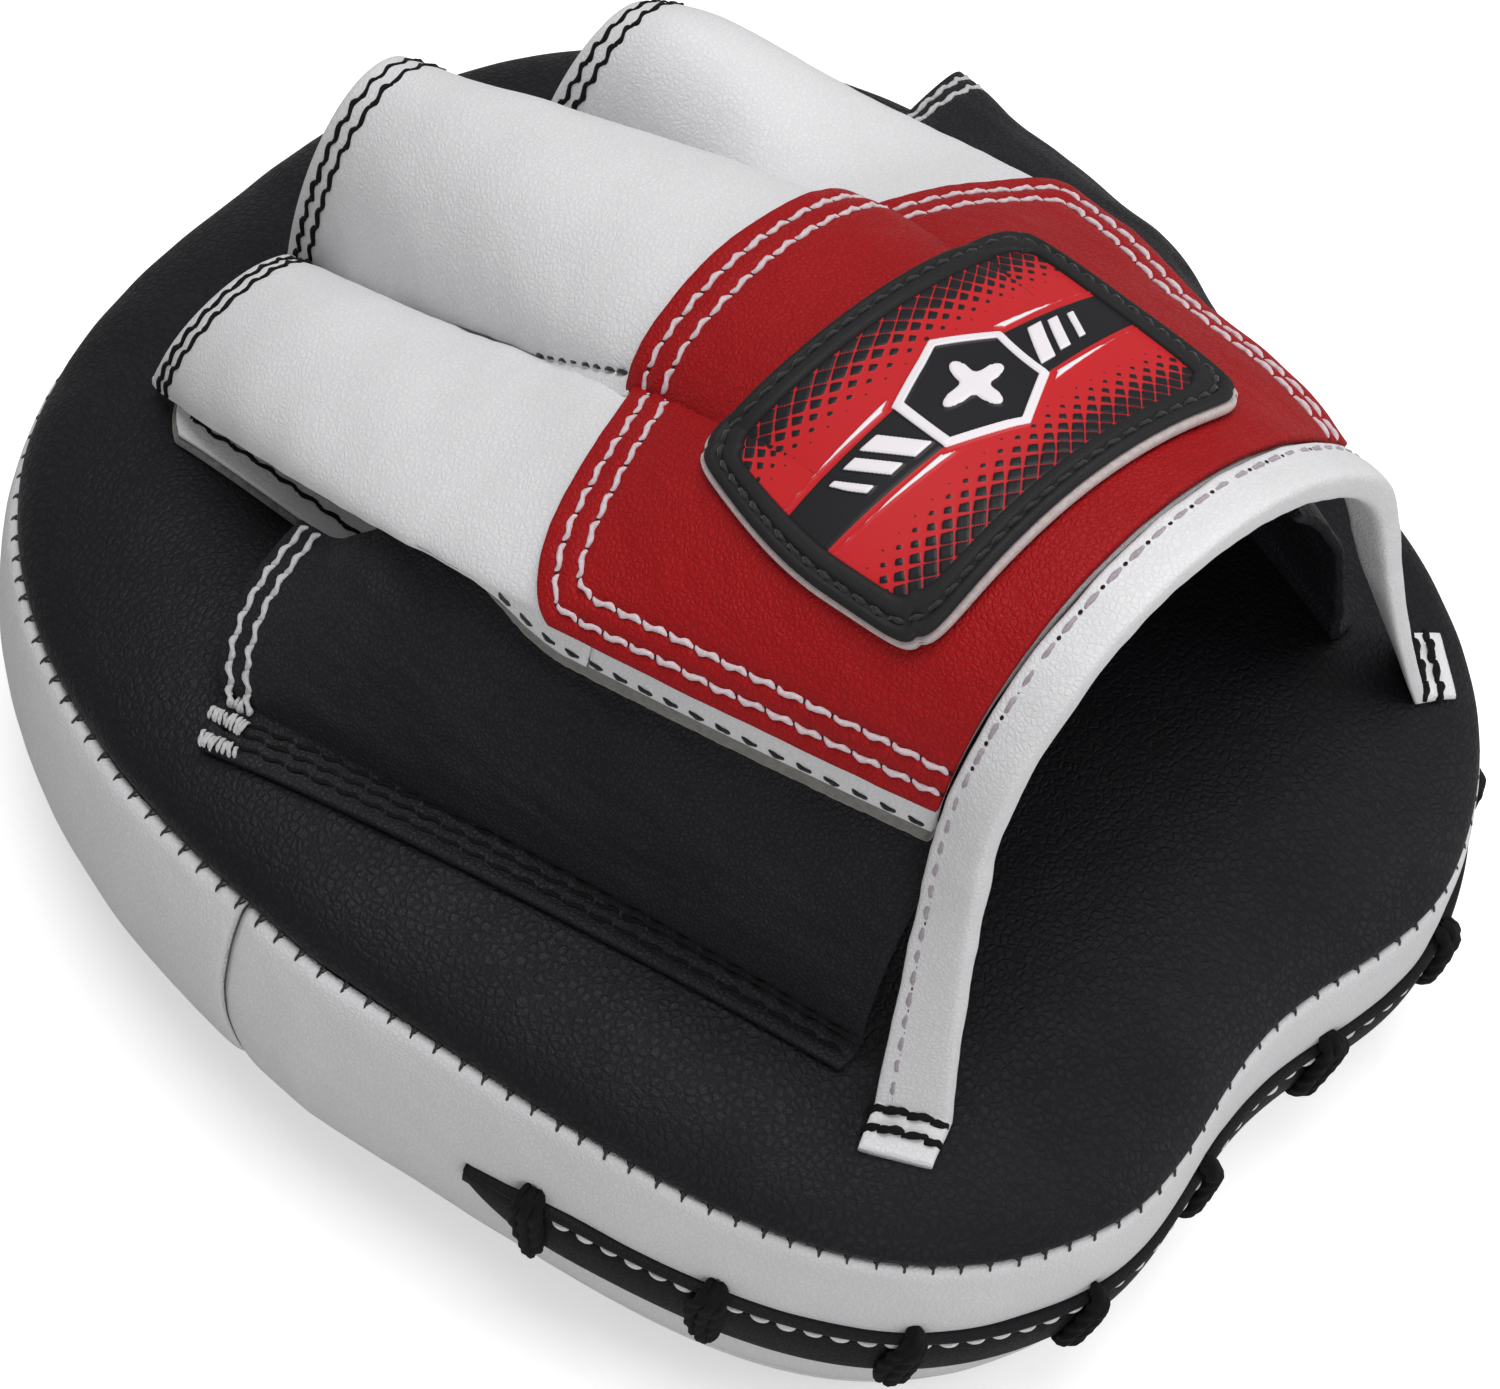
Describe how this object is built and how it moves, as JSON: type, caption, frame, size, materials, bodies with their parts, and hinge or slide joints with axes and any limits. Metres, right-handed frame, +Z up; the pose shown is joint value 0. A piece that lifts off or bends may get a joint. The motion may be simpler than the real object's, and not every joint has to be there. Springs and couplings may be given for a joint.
{
  "type": "focus mitt",
  "caption": "Curved focus mitt for boxing practice: thick padded disc with laced rim, finger and thumb sleeves, knuckle panel, moulded badge and open cuff.",
  "frame": {"origin": "centre of the base, on the surface it rests on", "axes": "+Y to the fingertips, +Z up from the striking face to the hand, -X to the thumb"},
  "size_m": [0.2124, 0.2487, 0.1663],
  "materials": {
    "white_leather": "smooth, satin",
    "black_leather": "pebble grain, satin",
    "red_leather": "fine grain, satin",
    "foam": "matt closed-cell foam",
    "gel": "matt shock-absorbing sheet",
    "felt": "matt, fibrous",
    "black_cord": "twisted cord",
    "black_lining": "matt woven",
    "black_rubber": "satin moulded",
    "red_rubber": "satin moulded"
  },
  "bodies": {
    "root": {"striking_face": "white_leather", "impact_foam": "foam", "shock_sheet": "gel", "back_foam": "foam", "back_panel": "black_leather", "finger_end_wall": "white_leather", "wrist_end_wall": "white_leather", "upper_slit_tape": "black_leather", "lower_slit_tape": "black_leather", "rim_lace": "black_cord", "palm_felt": "felt", "palm_leather": "white_leather", "index_sleeve": "white_leather", "middle_sleeve": "white_leather", "ring_sleeve": "white_leather", "finger_gussets": "white_leather", "hand_cover": "white_leather", "cover_felt": "felt", "hand_lining": "black_lining", "knuckle_panel": "red_leather", "thumb_sleeve": "black_leather", "little_finger_sleeve": "black_leather", "cuff_binding": "white_leather", "badge_base": "black_rubber", "badge_rim": "black_rubber", "badge_face": "red_rubber"}
  },
  "joints": []
}
